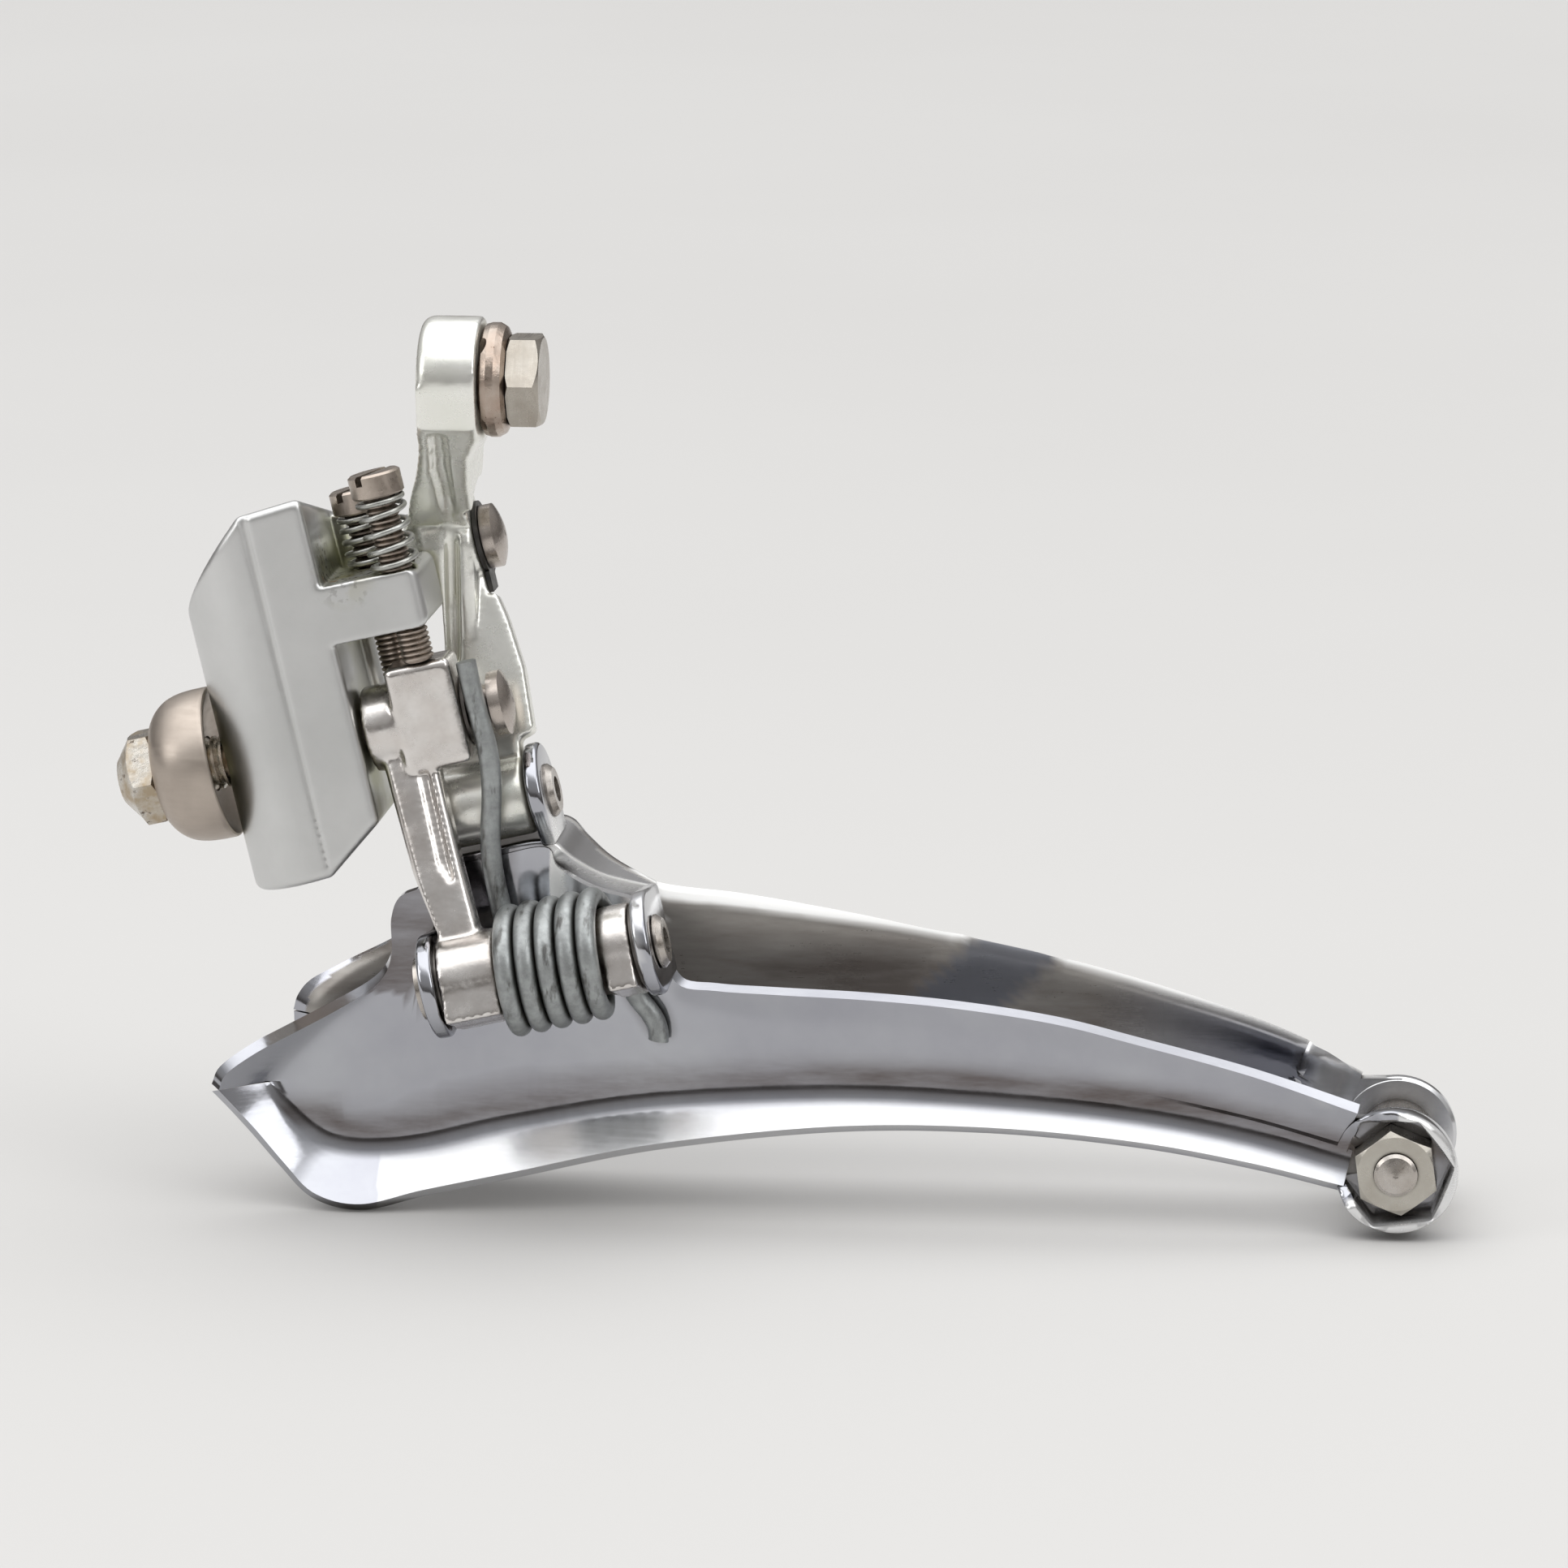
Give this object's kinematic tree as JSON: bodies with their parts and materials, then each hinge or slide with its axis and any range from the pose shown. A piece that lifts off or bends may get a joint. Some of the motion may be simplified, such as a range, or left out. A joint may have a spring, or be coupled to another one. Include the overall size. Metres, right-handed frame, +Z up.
{
  "type": "front derailleur",
  "caption": "Braze-on front derailleur: a parallelogram linkage swings a curved chromed cage sideways to move a bicycle chain between chainrings.",
  "frame": {"origin": "where the fixing bolt's axis meets the block's curved seat, which bears on the frame's tab", "axes": "+X to the rear of the bicycle, along the cage towards its tail; +Y outboard, to the drive side; +Z up"},
  "size_m": [0.1254, 0.0293, 0.0837],
  "materials": {
    "anodised_alloy": "satin silver anodised",
    "polished_alloy": "polished, clear anodised",
    "cast_alloy": "tumbled casting, bright with a warm tint",
    "chromed_steel": "chrome plated stamping, lightly scuffed",
    "worn_nickel": "old nickel plate with rust spots",
    "satin_nickel": "satin brownish nickel",
    "rivet_steel": "turned nickel-plated steel",
    "black_steel": "blackened spring steel",
    "screw_nickel": "brownish nickel plate",
    "bright_spring": "bright spring wire",
    "dull_spring": "dull zinc plate",
    "bolt_steel": "nickel-plated hexagon steel",
    "copper_nickel": "nickel worn to a coppery brown",
    "nut_steel": "nickel-plated hexagon steel",
    "pin_steel": "plated steel",
    "dark_washer": "darkened thin steel"
  },
  "bodies": {
    "mount": {"mounting_block": "anodised_alloy", "fixing_bolt": "worn_nickel", "fixing_washer": "satin_nickel", "cable_arm_pin": "rivet_steel", "cable_arm_washer": "black_steel", "inner_link_pin": "rivet_steel", "inner_link_washer": "dark_washer", "low_limit_spring": "bright_spring", "high_limit_spring": "bright_spring"},
    "cable_arm": {"cable_arm": "polished_alloy", "anchor_bolt": "bolt_steel", "anchor_washer": "copper_nickel"},
    "inner_link": {"inner_link": "cast_alloy", "return_spring": "dull_spring"},
    "cage": {"cage": "chromed_steel", "upper_cage_pin": "pin_steel", "lower_cage_pin": "pin_steel", "upper_cage_washers": "dark_washer", "lower_cage_washers": "dark_washer", "tail_screw": "pin_steel", "tail_nut": "nut_steel", "tail_spacer": "pin_steel"},
    "low_limit_screw": {"low_limit_screw": "screw_nickel"},
    "high_limit_screw": {"high_limit_screw": "screw_nickel"}
  },
  "joints": [
    {"name": "cable_arm_pivot", "type": "hinge", "parent": "mount", "child": "cable_arm", "pos_m": [0.01708, 0.008, 0.01872], "axis": [0.9744, 0, 0.225], "range_deg": [0, 32], "stiffness_Nm_per_rad": 0.36, "springref_deg": -40.11},
    {"name": "inner_link_pivot", "type": "hinge", "parent": "mount", "child": "inner_link", "pos_m": [0.02023, -0.002, 0.00508], "axis": [0.9744, 0, 0.225], "range_deg": [0, 32], "deforming": ["return_spring"]},
    {"name": "cage_pivot", "type": "hinge", "parent": "inner_link", "child": "cage", "pos_m": [0.02548, -0.01, -0.01767], "axis": [0.9744, 0, 0.225], "range_deg": [-32, 0], "deforming": ["return_spring"]},
    {"name": "low_screw_turn", "type": "hinge", "parent": "mount", "child": "low_limit_screw", "pos_m": [0.01711, -0.005, 0.01904], "axis": [-0.225, 0, 0.9744], "range_deg": [-720, 720]},
    {"name": "high_screw_turn", "type": "hinge", "parent": "mount", "child": "high_limit_screw", "pos_m": [0.01424, 0.0015, 0.01632], "axis": [-0.225, 0, 0.9744], "range_deg": [-720, 720]}
  ],
  "couplings": [
    {"joint": "inner_link_pivot", "follows": "cable_arm_pivot", "ratio": 1},
    {"joint": "cage_pivot", "follows": "cable_arm_pivot", "ratio": -1}
  ]
}
